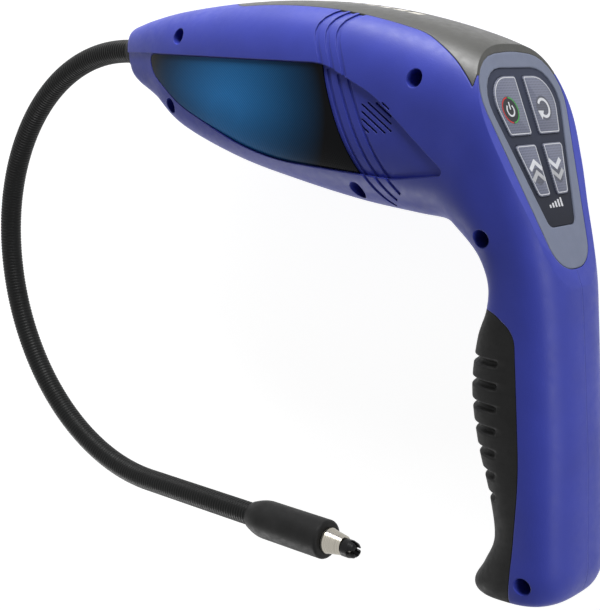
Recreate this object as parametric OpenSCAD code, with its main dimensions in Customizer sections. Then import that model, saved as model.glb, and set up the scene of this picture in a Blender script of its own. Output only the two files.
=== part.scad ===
// Hand-held refrigerant leak detector: a pistol-shaped two-part housing with a keypad on its
// sloping back, a row of indicator lights on top, a ribbed front grip and a stay-put flexible
// neck that carries the gas sensor. It lies on its right side: +Z is the detector's left,
// +Y its top and +X its back. Lengths are in millimetres.

/* [Housing] */
// Length of the head, from the handle's throat to the front of the nose
head_len = 191; // [181:1:201]
// Length of the handle below its throat
handle_len = 100; // [96:1:110]
// Width of the head
body_w = 58; // [54:1:64]
// Width of the handle
handle_w = 44; // [42:1:48]
// Width of the nose at its front
nose_w = 22; // [20:1:25]
// Thickness of the housing walls
wall = 3; // [2.6:0.2:3.4]
// Play between pieces that are fitted into each other
play = 0.2; // [0.15:0.05:0.3]

/* [Side panel] */
// Depth of the side recess that holds the label
recess_depth = 1.4; // [1:0.1:1.6]
// Thickness of the side label
label_t = 0.6; // [0.4:0.1:0.8]
// Width of each of the three rib grooves round the head
groove_w = 1.4; // [1:0.1:2]
// Depth of a rib groove
groove_depth = 0.7; // [0.4:0.1:0.8]
// Distance between rib grooves
groove_pitch = 4.2; // [3.4:0.2:5]
// Width of a speaker slot
slot_w = 1; // [0.8:0.1:1.4]
// Distance between speaker slots
slot_pitch = 2.6; // [2.2:0.1:3]

/* [Keypad] */
// Thickness of the top cover's keypad plate
plate_t = 4; // [3.6:0.2:5]
// Thickness of the keypad overlay
overlay_t = 0.8; // [0.6:0.1:1]
// Height of a key above the overlay
key_rise = 0.5; // [0.3:0.1:0.8]
// Travel of a key
key_travel = 0.5; // [0.3:0.1:0.6]
// Diameter of a key's plunger
plunger_d = 4.5; // [4:0.5:6]

/* [Indicator lights] */
// Length of one light window
window_len = 6; // [5:0.5:7]
// Width of one light window
window_w = 4.5; // [3:0.5:6]
// Distance between light windows
window_pitch = 6.9; // [6.6:0.1:7.6]

/* [Flexible neck] */
// Diameter of the neck
neck_d = 10; // [9:0.5:11]
// Radius of the neck's upper bend
upper_bend = 93.6; // [88:0.2:102]
// Radius of the neck's lower bend
lower_bend = 101.6; // [95:0.2:109]
// Straight length before the tip sleeve
neck_tail = 68; // [58:1:78]
// Diameter of the neck's collar at the nose
collar_d = 14.4; // [13.6:0.2:15]

/* [Probe tip] */
// Diameter of the tip sleeve
sleeve_d = 16.4; // [15:0.1:17.5]
// Length of the tip sleeve
sleeve_len = 42; // [36:1:48]
// Diameter of the metal cone at its wide end
cone_d = 10.8; // [10:0.2:12]
// Length of the metal cone outside the sleeve
cone_len = 9; // [7:0.5:11]
// Diameter of the sensor cap at its wide end
cap_d = 7.4; // [7:0.2:8.2]
// Length of the sensor cap
cap_len = 6.5; // [6:0.5:9]

/* [Grip] */
// Number of finger grooves
finger_grooves = 7; // [5:1:8]
// Distance between finger grooves
finger_pitch = 7.8; // [7:0.1:8.2]
// Width of a finger groove
finger_w = 2.4; // [1.8:0.1:3]
// Depth of a finger groove
finger_depth = 1.5; // [1:0.1:1.8]

/* [Inside] */
// Diameter of a battery cell
cell_d = 10.5; // [9.5:0.1:10.5]
// Length of a battery cell
cell_len = 30; // [27:0.5:33]
// Thickness of the circuit boards
board_t = 1.6; // [1:0.2:2]
// Diameter of the speaker
speaker_d = 22; // [18:1:24]

/* [Screws] */
// Diameter of a screw's access hole
access_d = 6.2; // [6:0.1:6.6]
// Diameter of a screw head
head_d = 5.5; // [5:0.1:5.7]
// Diameter of a screw shank
shank_d = 2.9; // [2.6:0.1:3]
// Outside diameter of a screw boss
boss_d = 9; // [8.8:0.1:10]

/* [Hidden] */
$fn = 48;

// Reference points of the detector's own frame, with its symmetry plane at Z 0
throat_x = 100;
throat_y = 12.5;
nose_x = throat_x - head_len;
base_y = throat_y - handle_len;
half_w = body_w / 2;
grip_half = handle_w / 2;
nose_half = nose_w / 2;
top_y = 118.3;
back_x = throat_x + 32.8;

// A place along the head, 0 at the throat and 1 at the nose, and one down the handle, 0 to 1
function hx(t) = throat_x - head_len * t;
function hy(t) = throat_y - handle_len * t;
function mix(a, b, t) = a + (b - a) * t;

// Sections of the housing from nose to foot: top or back point, bottom or front point, half width
stations = [
    [hx(1), 108.2, hx(1), 90.8, nose_half - 2.4],
    [hx(0.9916), 109.8, hx(0.9885), 88.2, nose_half - 0.2],
    [hx(0.9634), 111.2, hx(0.9592), 84.8, nose_half + 2],
    [hx(0.911), 113.2, hx(0.888), 78.5, mix(nose_half, half_w, 0.311)],
    [hx(0.8168), 115.8, hx(0.7963), 67.5, mix(nose_half, half_w, 0.567)],
    [hx(0.6597), 118, hx(0.6283), 57, mix(nose_half, half_w, 0.811)],
    [hx(0.5026), top_y, hx(0.4607), 50.3, mix(nose_half, half_w, 0.948)],
    [hx(0.3455), 116.1, hx(0.3037), 45.3, half_w],
    [hx(0.1885), 110.7, hx(0.178), 42.8, half_w],
    [hx(0.0419), 102.5, hx(0.0995), 41.4, half_w],
    [throat_x + 7.5, 93.5, throat_x - 11.5, 36.6, half_w],
    [throat_x + 14, 75, throat_x - 4.4, 28.6, mix(half_w, grip_half, 0.443)],
    [throat_x + 19.2, 52, throat_x - 1.8, 19.8, mix(half_w, grip_half, 0.929)],
    [throat_x + 24.9, 28, throat_x - 3.4, throat_y, grip_half - 0.7],
    [throat_x + 27.2, 10, throat_x - 7.4, hy(0.099), grip_half - 0.8],
    [throat_x + 29.2, hy(0.265), throat_x - 9.2, hy(0.265), grip_half - 0.6],
    [throat_x + 30.8, hy(0.455), throat_x - 6, hy(0.45), grip_half - 0.5],
    [throat_x + 31.8, hy(0.635), throat_x, hy(0.63), grip_half - 0.5],
    [throat_x + 32.4, hy(0.775), throat_x + 2.6, hy(0.775), grip_half - 0.5],
    [back_x, hy(0.875), throat_x - 1.4, hy(0.88), grip_half],
    [throat_x + 31.4, hy(0.937), throat_x - 5.4, hy(0.95), grip_half - 0.3],
    [throat_x + 28.8, hy(0.973), throat_x - 4.2, hy(0.985), grip_half - 2],
    [throat_x + 24.4, hy(0.991), throat_x + 1.5, hy(1), grip_half - 6]];
last = len(stations) - 1;

// A smooth curve through the sections, and the outline of one section moved inwards
function spline(a, b, c, d, t) =
    0.5 * (2 * b + (c - a) * t + (2 * a - 5 * b + 4 * c - d) * t * t + (3 * b - a - 3 * c + d) * t * t * t);
function station(u) =
    let (i = min(floor(u), last - 1))
    spline(stations[max(i - 1, 0)], stations[i], stations[i + 1], stations[min(i + 2, last)], u - i);
function bow(v, e) = sign(v) * pow(abs(v), e);
section_power = 2 / 2.8;
section_steps = 14;
function section(u, inset, to) =
    let (s = station(u), o = [s[0], s[1]], q = [s[2], s[3]], d = (q - o) / norm(q - o),
         mid = (o + q) / 2, arm = (o - q) / 2 + d * inset, w = s[4] - inset)
    [for (j = [0:to])
        let (turn = 180 * j / section_steps, p = mid + arm * bow(cos(turn), section_power))
        [p.x, p.y, w * bow(sin(turn), section_power)]];

// Faces of a grid of points, two triangles to each cell
loft_step = 0.5;
function steps(a, b) = [for (u = [a:loft_step:b]) u];
function quad(a, b, c, d) = [[d, c, a], [c, b, a]];
function skin(rows, cols, base, closed, flip) =
    [for (k = [0:rows - 2], j = [0:closed ? cols - 1 : cols - 2])
        let (n = (j + 1) % cols, a = base + k * cols + j, b = base + k * cols + n,
             c = base + (k + 1) * cols + n, d = base + (k + 1) * cols + j)
        each flip ? quad(d, c, b, a) : quad(a, b, c, d)];
inner_from = 1.6;
inner_to = last - 2.4;

// Solid body between two sections, moved inwards from the outside of the housing, or its left half
module body_loft(inset, from = 0, to = last, half = false) {
    cols = half ? section_steps + 1 : 2 * section_steps;
    us = steps(from, to);
    rows = len(us);
    points = [for (u = us) each section(u, inset, cols - 1)];
    first_cap = [for (j = [0:cols - 1]) j];
    last_cap = [for (j = [cols - 1:-1:0]) (rows - 1) * cols + j];
    polyhedron(points, concat(skin(rows, cols, 0, true, false), [first_cap, last_cap]));
}

// Left half of the hollow housing, with its flat rim on the symmetry plane
module half_shell() {
    cols = section_steps + 1;
    far = cols - 1;
    outer = steps(0, last);
    rows = len(outer);
    inner = [for (k = [0:rows - 1]) mix(inner_from, inner_to, k / (rows - 1))];
    points = concat([for (u = outer) each section(u, 0, far)], [for (u = inner) each section(u, wall, far)]);
    base = rows * cols;
    end = (rows - 1) * cols;
    top_rim = [for (k = [0:cols:end - 1]) each quad(k, k + cols, base + k + cols, base + k)];
    low_rim = [for (k = [far:cols:end - 1]) each quad(base + k, base + k + cols, k + cols, k)];
    nose_rim = quad(0, base, base + far, far);
    foot_rim = quad(end + far, base + end + far, base + end, end);
    caps = [[for (j = [0:far]) j], [for (j = [far:-1:0]) end + j],
            [for (j = [far:-1:0]) base + j], [for (j = [0:far]) base + end + j]];
    polyhedron(points, concat(skin(rows, cols, 0, false, false), skin(rows, cols, base, false, true),
                              top_rim, low_rim, nose_rim, foot_rim, caps));
}

// Outline with every corner rounded to its own radius
function unit(v) = v / norm(v);
function corner(a, b, c, r, n) =
    let (u = unit(a - b), v = unit(c - b), half = acos(u * v) / 2, hub = b + unit(u + v) * r / sin(half),
         p = b + u * r / tan(half) - hub, q = b + v * r / tan(half) - hub, start = atan2(p.y, p.x),
         turn = (atan2(q.y, q.x) - start + 540) % 360 - 180)
    [for (i = [0:n]) hub + r * [cos(start + turn * i / n), sin(start + turn * i / n)]];
function rounded(points, radii, n = 6) =
    let (m = len(points))
    [for (i = [0:m - 1]) each corner(points[(i + m - 1) % m], points[i], points[(i + 1) % m], radii[i], n)];

// Places the whole detector with the middle of its outline on the origin and its right side on Z 0
module placed() {
    left_x = bend_x - upper_bend - neck_d / 2;
    low_y = probe_y - sleeve_d / 2;
    translate([-(left_x + back_x) / 2, -(low_y + top_y) / 2, half_w]) children();
}

// Sloping back face: local X runs up the face, local Y to the left, local Z outwards
facet_tilt = 21.8;
facet_x = throat_x + 9.3;
facet_y = 64;
module on_facet(level = 0) {
    translate([facet_x, facet_y, 0]) rotate([0, 0, facet_tilt]) rotate([90, 0, 90])
        translate([0, 0, level]) children();
}
egg_points = [[37, 31], [-37.5, 10.5], [-37.5, -10.5], [37, -31]];
egg_radii = [13.7, 12.4, 12.4, 13.7];
pad_points = [[32, 25.9], [-23, 8], [-23, -8], [32, -25.9]];
pad_radii = [12, 3, 3, 12];
strip_points = [[hx(0.6605), 19], [hx(0.2042), 19.5], [hx(0.005105), 24.5], [hx(0.005105), -24.5],
                [hx(0.2042), -19.5], [hx(0.6605), -19]];
strip_radii = [18, 60, 1, 1, 60, 18];
strip_floor = 96;

module egg(d) {
    offset(delta = d) polygon(rounded(egg_points, egg_radii));
}
module pad(d) {
    offset(delta = d) polygon(rounded(pad_points, pad_radii));
}
module facet_cut() {
    on_facet() translate([-60, -50, 0]) cube([120, 100, 40]);
}
module strip_block(d) {
    translate([0, strip_floor, 0]) rotate([-90, 0, 0]) linear_extrude(40)
        offset(delta = d) polygon(rounded(strip_points, strip_radii));
}
module egg_block(d, from, to) {
    on_facet(from) linear_extrude(to - from) egg(d);
}

// Side recess, its label and the three grooves that run round the head behind the label
leaf_points = [[hx(0.8801), 99], [hx(0.3247), 95.5], [hx(0.05207), 58.5], [hx(0.1991), 53], [hx(0.5237), 60],
               [hx(0.7647), 78], [hx(0.8688), 91]];
leaf_radii = [3, 30, 4, 40, 120, 60, 8];
arc_x = throat_x + 64.5;
arc_y = 126.7;
arc_r = 133;
groove_r = arc_r - 2;
module leaf(d) {
    offset(delta = d) polygon(rounded(leaf_points, leaf_radii));
}
module groove_rings() {
    intersection() {
        translate([arc_x, arc_y]) for (i = [0:2]) difference() {
            circle(groove_r - i * groove_pitch + groove_w / 2, $fn = 96);
            circle(groove_r - i * groove_pitch - groove_w / 2, $fn = 96);
        }
        translate([throat_x - 80, 30]) square([65, 100]);
    }
}
module side_prism() {
    translate([0, 0, 2]) linear_extrude(half_w + 3) children();
}
module side_cuts() {
    difference() {
        side_prism() leaf(0);
        body_loft(recess_depth, 1, 13, true);
    }
    difference() {
        side_prism() groove_rings();
        body_loft(groove_depth, 5, 11, true);
    }
    difference() {
        side_prism() intersection() {
            groove_rings();
            leaf(0);
        }
        body_loft(recess_depth + groove_depth, 5, 11, true);
    }
}
vent_x = throat_x - 41;
vent_y = 78;
module vent_slots() {
    translate([vent_x, vent_y]) intersection() {
        square([13, 15], center = true);
        for (i = [-3:3]) rotate(-50) translate([0, i * slot_pitch]) square([16, slot_w], center = true);
    }
}
module side_label() {
    difference() {
        intersection() {
            side_prism() difference() {
                leaf(-2 * play);
                translate([arc_x, arc_y]) circle(arc_r, $fn = 96);
            }
            body_loft(recess_depth - label_t - 0.05, 1.5, 11, true);
        }
        body_loft(recess_depth - 0.05, 1, 11.5, true);
    }
}

// Front grip: the side outline that parts it from the housing
grip_points = [[throat_x - 30, throat_y + 1.4], [throat_x + 4, throat_y - 0.4], [throat_x + 14.5, hy(0.06)],
               [throat_x + 16.5, hy(0.45)], [throat_x + 15.5, hy(1.1)], [throat_x - 30, hy(1.1)]];
grip_radii = [1, 10, 10, 80, 1, 1];
finger_end = 33;
module grip_block(d) {
    translate([0, 0, -40]) linear_extrude(80) offset(delta = d) polygon(rounded(grip_points, grip_radii));
}

// Screws and their bosses, all driven from the left
screw_places = [[hx(0.7647), 105.3], [hx(0.8065), 78], [hx(0.2777), 51], [hx(0.1256), 90.4], [throat_x + 1.5, 39],
                [throat_x + 20.3, hy(0.9)]];
seat_z = 5;
bite = 9;
module at_screws() {
    for (p = screw_places) translate([p.x, p.y, 0]) children();
}

// Neck path: straight out of the nose, two quarter bends and a straight tail
axis_y = 99.8;
neck_lead = 11.6;
bend_x = nose_x - neck_lead;
bend_y = axis_y - upper_bend;
probe_x = bend_x - upper_bend + lower_bend;
probe_y = bend_y - lower_bend;
link_gap = 1.4;
ball_r = neck_d / 2 - 0.5;
ball_play = 0.25;
function upper_point(t) = [bend_x - upper_bend * sin(t), bend_y + upper_bend * cos(t), 0];
function lower_point(t) = [probe_x - lower_bend * cos(t), bend_y - lower_bend * sin(t), 0];
joint_points = [upper_point(30), upper_point(60), upper_point(90),
                lower_point(30), lower_point(60), lower_point(90)];
module bend_piece(center, radius, start, from, to) {
    trim = link_gap / radius * 180 / PI;
    a = start + from + (from == 0 && start == 90 ? 0 : trim);
    b = start + to - trim;
    translate(center) rotate([0, 0, a]) rotate_extrude(angle = b - a)
        translate([radius, 0]) circle(d = neck_d);
}
module at_joint(i) {
    translate(joint_points[i]) rotate([0, 0, 210 + 30 * i]) rotate([0, 90, 0]) children();
}
module neck_ball(i) {
    at_joint(i) sphere(ball_r);
}
module neck_cup(i) {
    at_joint(i) sphere(ball_r + ball_play);
}
module upper_link(i) {
    color("#1c1d20") difference() {
        union() {
            bend_piece([bend_x, bend_y, 0], upper_bend, 90, 30 * i, 30 * i + 30);
            neck_ball(i);
        }
        neck_cup(i - 1);
    }
}
module lower_link(i) {
    color("#1c1d20") difference() {
        union() {
            bend_piece([probe_x, bend_y, 0], lower_bend, 180, 30 * i, 30 * i + 30);
            neck_ball(i + 3);
        }
        neck_cup(i + 2);
    }
}

// Lengths along the probe's tip, from the last neck joint forwards
sleeve_from = neck_tail;
sleeve_to = sleeve_from + sleeve_len;
cone_to = sleeve_to + cone_len;
cap_to = cone_to + cap_len;
socket = 10;
spigot_d = 5;
spigot_len = 6;
element_d = 3.4;
module on_probe() {
    translate([probe_x, probe_y, 0]) rotate([0, 90, 0]) children();
}

module housing_half(bores) {
    difference() {
        union() {
            half_shell();
            intersection() {
                body_loft(1, half = true);
                union() {
                    at_screws() cylinder(d = boss_d, h = half_w);
                    if (!bores) at_posts() cylinder(d = 6, h = half_w);
                }
            }
            intersection() {
                body_loft(0.3, 7, 15, true);
                egg_block(3, -plate_t - 2.5, 3);
            }
        }
        facet_cut();
        egg_block(0, -plate_t - 0.3, 5);
        egg_block(-2.5, -plate_t - 8, 5);
        strip_block(0);
        grip_block(0);
        side_cuts();
        translate([0, 0, half_w - 12]) linear_extrude(20) vent_slots();
        translate([nose_x - 5, axis_y, 0]) rotate([0, 90, 0]) cylinder(d = collar_d + 2 * play, h = 20);
        if (bores) at_screws() translate([0, 0, -1]) cylinder(d = shank_d + 2 * play, h = half_w + 5);
        if (bores) at_screws() translate([0, 0, seat_z]) cylinder(d = access_d, h = half_w);
        if (!bores) at_screws() translate([0, 0, -1]) cylinder(d = shank_d, h = bite + 2);
    }
}

module housing_left() {
    color("#2b35a4") housing_half(true);
}

module housing_right() {
    color("#2b35a4") mirror([0, 0, 1]) housing_half(false);
}

// Row of six indicator lights under the top strip
window_count = 6;
window_x = throat_x - 61.5;
window_y = 114.7;
window_tilt = -8.9;
module on_windows() {
    translate([window_x, window_y, 0]) rotate([0, 0, window_tilt]) rotate([-90, 0, 0]) children();
}
module window_row(d) {
    for (i = [0:window_count - 1]) translate([(i - (window_count - 1) / 2) * window_pitch, 0])
        square([window_len + 2 * d, window_w + 2 * d], center = true);
}
bar_len = window_count * window_pitch + 3;
bar_w = window_w + 3;
bar_t = 1.5;

module top_cover() {
    color("#5d6166") {
        difference() {
            union() {
                intersection() {
                    difference() {
                        body_loft(0, 3, 13);
                        body_loft(wall, 2.5, 13.5);
                    }
                    strip_block(-play);
                }
                intersection() {
                    egg_block(-play, -plate_t, 10);
                    body_loft(0.05, 7, 15);
                }
                on_windows() for (s = [-1, 1]) translate([s * (bar_len / 2 + 4), 0, -light_level])
                    cylinder(d = 4, h = light_level - 1.5);
                on_facet(-plate_t - key_drop) for (p = key_posts) translate([p.x, p.y, 0])
                    cylinder(d = 4, h = key_drop + 1);
            }
            facet_cut();
            on_facet(pad_floor) linear_extrude(10) pad(play);
            on_facet(pad_floor - key_travel - 0.3) linear_extrude(5) all_keys(play);
            on_facet(-plate_t - 1) for (p = plunger_places) translate([p.x, p.y, 0])
                cylinder(d = plunger_d + 2 * play, h = plate_t);
            on_windows() translate([0, 0, -8]) linear_extrude(20) window_row(play);
        }
    }
}

module light_bar() {
    color("#d9dadb") {
        difference() {
            intersection() {
                on_windows() translate([0, 0, -20]) linear_extrude(40) square([bar_len, bar_w], center = true);
                body_loft(wall + play, 5, 10);
            }
            body_loft(wall + play + bar_t, 4.5, 10.5);
        }
        difference() {
            intersection() {
                on_windows() translate([0, 0, -20]) linear_extrude(40) window_row(0);
                body_loft(0.5, 5, 10);
            }
            body_loft(wall + play + 0.5, 4.5, 10.5);
        }
    }
}

// Light board: lies below the bar, on two posts of the cover
light_level = wall + play + bar_t + 2;
module light_board() {
    color("#1f6b3a") on_windows() {
        translate([0, 0, -light_level - board_t - 0.1]) linear_extrude(board_t)
            square([bar_len + 14, 10], center = true);
        translate([0, 0, -light_level - 0.2]) linear_extrude(1.2) window_row(-1.2);
    }
}

// Keypad: overlay with four keys in it, pressed on to switches behind the plate
pad_floor = -overlay_t - 0.3;
upper_key = [[8.6, 2.3], [8.6, 15.2], [29.2, 21.5], [29.2, 2.3]];
upper_radii = [1.2, 1.5, 9.5, 1.2];
lower_key = [[5.4, 2.2], [5.4, 14.6], [-12.5, 9.1], [-12.5, 2.2]];
lower_radii = [1.2, 1.5, 2, 1.2];
plunger_places = [[18, 11], [18, -11], [-2.5, 6.5], [-2.5, -6.5]];
key_drop = 2.4;
key_posts = [[28, 8], [28, -8], [-16, 4], [-16, -4]];
module key_outline(i, d) {
    mirror([0, i % 2]) offset(delta = d)
        polygon(i < 2 ? rounded(upper_key, upper_radii) : rounded(lower_key, lower_radii));
}
module all_keys(d) {
    for (i = [0:3]) key_outline(i, d);
}
module key(i) {
    color("#777b86") {
        on_facet(pad_floor) linear_extrude(overlay_t + key_rise) key_outline(i, 0);
        on_facet(-plate_t - 0.6) translate([plunger_places[i].x, plunger_places[i].y, 0])
            cylinder(d = plunger_d, h = plate_t + 0.6 + pad_floor + 0.1);
    }
}
module key_power() {
    key(0);
}
module key_reset() {
    key(1);
}
module key_up() {
    key(2);
}
module key_down() {
    key(3);
}
module keypad_overlay() {
    color("#2f323d") on_facet(pad_floor + 0.05) linear_extrude(overlay_t - 0.05) difference() {
        pad(0);
        all_keys(play);
    }
}
module key_board() {
    switch_top = -plate_t - 0.6 - key_travel - 0.05;
    board_top = -plate_t - key_drop - 0.1;
    color("#1f6b3a") on_facet(board_top - board_t) {
        linear_extrude(board_t) polygon(rounded([[31, 20], [-19, 8], [-19, -8], [31, -20]], [4, 3, 3, 4]));
        for (p = plunger_places) translate([p.x, p.y, 0])
            cylinder(d = 6, h = switch_top - board_top + board_t);
    }
}

module label_left() {
    color("#1d2f6f") side_label();
}

module front_grip() {
    color("#1a1b1d") difference() {
        intersection() {
            body_loft(0, 11, last);
            grip_block(-play);
        }
        body_loft(wall, 10, inner_to + 0.4);
        difference() {
            translate([0, 0, -40]) linear_extrude(80) for (i = [0:finger_grooves - 1])
                translate([throat_x - 30, hy(0.17) - i * finger_pitch])
                    polygon(rounded([[0, -finger_w / 2], [finger_end, -finger_w / 2],
                                     [finger_end, finger_w / 2], [0, finger_w / 2]],
                                    [0.3, finger_w / 2.2, finger_w / 2.2, 0.3]));
            body_loft(finger_depth, 11, last - 1);
        }
    }
}

module neck_collar() {
    color("#18191b") translate([nose_x - 5, axis_y, 0]) rotate([0, 90, 0]) rotate_extrude()
        polygon([[neck_d / 2 + play, 0], [collar_d / 2 - 1.2, 0], [collar_d / 2, 1.2],
                 [collar_d / 2, 13], [neck_d / 2 + play, 13]]);
}

module neck_link_1() {
    color("#1c1d20") {
        translate([bend_x, axis_y, 0]) rotate([0, 90, 0]) cylinder(d = neck_d, h = neck_lead + 10);
        bend_piece([bend_x, bend_y, 0], upper_bend, 90, 0, 30);
        neck_ball(0);
    }
}
module neck_link_2() {
    upper_link(1);
}
module neck_link_3() {
    upper_link(2);
}
module neck_link_4() {
    lower_link(0);
}
module neck_link_5() {
    lower_link(1);
}
module neck_link_6() {
    lower_link(2);
}
module neck_link_7() {
    color("#1c1d20") difference() {
        on_probe() translate([0, 0, link_gap]) cylinder(d = neck_d, h = sleeve_from + socket - link_gap);
        neck_cup(5);
    }
}

module tip_sleeve() {
    bore = neck_d / 2 + play;
    plug = cone_d / 2 - 1 + play;
    color("#17181a") on_probe() rotate_extrude() polygon([
        [bore, sleeve_from], [bore + 0.8, sleeve_from], [sleeve_d / 2 - 0.6, sleeve_from + 6],
        [sleeve_d / 2, sleeve_from + 9], [sleeve_d / 2, sleeve_to - 1.5], [sleeve_d / 2 - 1.5, sleeve_to],
        [plug, sleeve_to], [plug, sleeve_to - socket - play], [2, sleeve_to - socket - play],
        [2, sleeve_from + socket + play], [bore, sleeve_from + socket + play]]);
}

module tip_cone() {
    stem = cone_d / 2 - 1;
    hole = spigot_d / 2 + play;
    color("#c9ccd0") on_probe() rotate_extrude() polygon([
        [2, sleeve_to - socket], [stem, sleeve_to - socket], [stem, sleeve_to + play],
        [cone_d / 2, sleeve_to + play], [cone_d / 2, sleeve_to + 1.2], [cap_d / 2 + 0.3, cone_to],
        [hole, cone_to], [hole, cone_to - spigot_len - play], [2, cone_to - spigot_len - play]]);
}

module sensor_cap() {
    bore = element_d / 2 + play;
    color("#151618") on_probe() difference() {
        rotate_extrude() polygon([
            [bore, cone_to - spigot_len], [spigot_d / 2, cone_to - spigot_len],
            [spigot_d / 2, cone_to + play], [cap_d / 2, cone_to + play], [cap_d / 2, cap_to - 3.2],
            [cap_d / 2 - 0.5, cap_to - 1], [cap_d / 2 - 1.3, cap_to], [bore, cap_to]]);
        for (a = [0, 90]) rotate([0, 0, a]) translate([-cap_d, -0.7, cap_to - 3]) cube([2 * cap_d, 1.4, 5]);
    }
}

module sensor_element() {
    color("#b9a06a") on_probe() translate([0, 0, cone_to - spigot_len])
        cylinder(d = element_d, h = spigot_len + cap_len - 4);
}

// Circuit board in the head, on four posts of the right half
board_from = [hx(0.681), 64];
board_to = [throat_x - 32, 98];
board_z = 10;
board_posts = [[board_from.x + 5, board_from.y + 5], [board_to.x - 5, board_from.y + 5],
               [board_from.x + 5, board_to.y - 5], [board_to.x - 5, board_to.y - 5]];
module at_posts() {
    for (p = board_posts) translate([p.x, p.y, board_z]) children();
}
module main_board() {
    size = board_to - board_from;
    color("#1f6b3a") translate([board_from.x, board_from.y, -board_z + 0.1]) {
        cube([size.x, size.y, board_t]);
        translate([size.x * 0.3, 10, 0]) cube([12, 12, board_t + 1.5]);
        translate([size.x * 0.6, 14, 0]) cube([8, 6, board_t + 1.5]);
        translate([size.x * 0.8, 6, 0]) cube([6, 14, board_t + 5]);
    }
}

module speaker() {
    speaker_t = 6;
    color("#2a2a2c") translate([vent_x, vent_y, half_w - wall - 0.6 - speaker_t]) {
        cylinder(d = speaker_d * 0.6, h = speaker_t);
        translate([0, 0, 2]) cylinder(d = speaker_d, h = speaker_t - 2);
    }
}

// Four cells in two columns, in a tray that stands on the lowest screw boss
cell_x = throat_x + 15;
cell_y = screw_places[5].y + boss_d / 2 + 5;
column_z = cell_d / 2 + 0.3;
stack = 2 * cell_len + 0.4;
tray_w = 2 * cell_d + 4;
module one_cell(side, level) {
    foot = cell_y + level * (cell_len + 0.2);
    color("#b08d3c") translate([cell_x, foot, side * column_z]) rotate([-90, 0, 0]) {
        cylinder(d = cell_d, h = cell_len - 1.2);
        cylinder(d = 3.8, h = cell_len);
    }
}
module cell_1() {
    one_cell(1, 0);
}
module cell_2() {
    one_cell(1, 1);
}
module cell_3() {
    one_cell(-1, 0);
}
module cell_4() {
    one_cell(-1, 1);
}
module battery_tray() {
    color("#26272a") translate([cell_x, cell_y, 0]) {
        translate([cell_d / 2 + play, -4.8, -tray_w / 2]) cube([1.6, stack + 8, tray_w]);
        translate([-cell_d / 2, -4.8, -tray_w / 2]) cube([cell_d + 1, 2, tray_w]);
        translate([-cell_d / 2, stack + 1.2, -tray_w / 2]) cube([cell_d + 1, 2, tray_w]);
    }
}
module contact_springs() {
    color("#d0d2d4") for (s = [-1, 1]) translate([cell_x, cell_y - 2.7, s * column_z]) rotate([-90, 0, 0]) {
        cylinder(d = 8, h = 0.5);
        cylinder(d1 = 7, d2 = 4, h = 2.5);
        translate([0, 0, stack + 3.1]) cylinder(d = 8, h = 0.7);
    }
}

module case_screws() {
    color("#8c8f94") at_screws() {
        translate([0, 0, seat_z + 0.05]) difference() {
            cylinder(d = head_d, h = 2.2);
            for (a = [0, 90]) rotate([0, 0, a]) translate([-1.6, -0.4, 1]) cube([3.2, 0.8, 2]);
        }
        translate([0, 0, -bite]) cylinder(d = shank_d - 0.1, h = bite + seat_z + 0.5);
    }
}

placed() housing_left();
placed() housing_right();
placed() top_cover();
placed() light_bar();
placed() keypad_overlay();
placed() key_power();
placed() key_reset();
placed() key_up();
placed() key_down();
placed() label_left();
placed() front_grip();
placed() neck_collar();
placed() neck_link_1();
placed() neck_link_2();
placed() neck_link_3();
placed() neck_link_4();
placed() neck_link_5();
placed() neck_link_6();
placed() neck_link_7();
placed() tip_sleeve();
placed() tip_cone();
placed() sensor_cap();
placed() sensor_element();
placed() main_board();
placed() key_board();
placed() light_board();
placed() speaker();
placed() battery_tray();
placed() cell_1();
placed() cell_2();
placed() cell_3();
placed() cell_4();
placed() contact_springs();
placed() case_screws();
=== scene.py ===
"""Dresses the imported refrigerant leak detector: moulded housing, keypad, label, ribbed grip and probe neck."""
import math
from functools import partial

import bpy
import numpy as np
from bpy.props import FloatProperty, FloatVectorProperty, IntProperty, PointerProperty
from mathutils import Matrix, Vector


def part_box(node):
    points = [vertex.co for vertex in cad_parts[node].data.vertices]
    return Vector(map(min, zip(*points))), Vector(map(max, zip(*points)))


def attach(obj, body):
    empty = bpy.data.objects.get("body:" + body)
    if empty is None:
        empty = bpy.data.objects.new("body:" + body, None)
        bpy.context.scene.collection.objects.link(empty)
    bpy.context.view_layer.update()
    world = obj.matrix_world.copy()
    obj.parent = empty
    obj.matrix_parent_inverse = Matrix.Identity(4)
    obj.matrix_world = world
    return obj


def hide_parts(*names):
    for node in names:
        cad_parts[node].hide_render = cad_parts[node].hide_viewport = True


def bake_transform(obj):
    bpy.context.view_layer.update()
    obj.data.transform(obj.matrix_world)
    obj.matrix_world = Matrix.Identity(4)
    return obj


bl_info = {
    "name": "Leak Detector Surfaces",
    "version": (1, 0, 0),
    "blender": (4, 5, 0),
    "location": "3D View > Sidebar > Detector",
    "description": "Builds the visible surfaces of a hand-held leak detector on its solid frame",
    "category": "Object",
}

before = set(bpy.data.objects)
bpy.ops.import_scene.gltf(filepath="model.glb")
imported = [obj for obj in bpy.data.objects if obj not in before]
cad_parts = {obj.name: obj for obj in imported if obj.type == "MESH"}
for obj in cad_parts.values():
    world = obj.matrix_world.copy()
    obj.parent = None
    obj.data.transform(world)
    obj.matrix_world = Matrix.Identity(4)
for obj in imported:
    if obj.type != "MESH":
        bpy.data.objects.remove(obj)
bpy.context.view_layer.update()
MM = 0.001

# The detector's own frame has its symmetry plane at Z 0; the housing's low corner ties it to the row frame
HOUSING_LOW = np.array([-91.0, -87.5, 0.0])
SHIFT = np.array(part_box("housing_left")[0]) - HOUSING_LOW * MM

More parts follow.
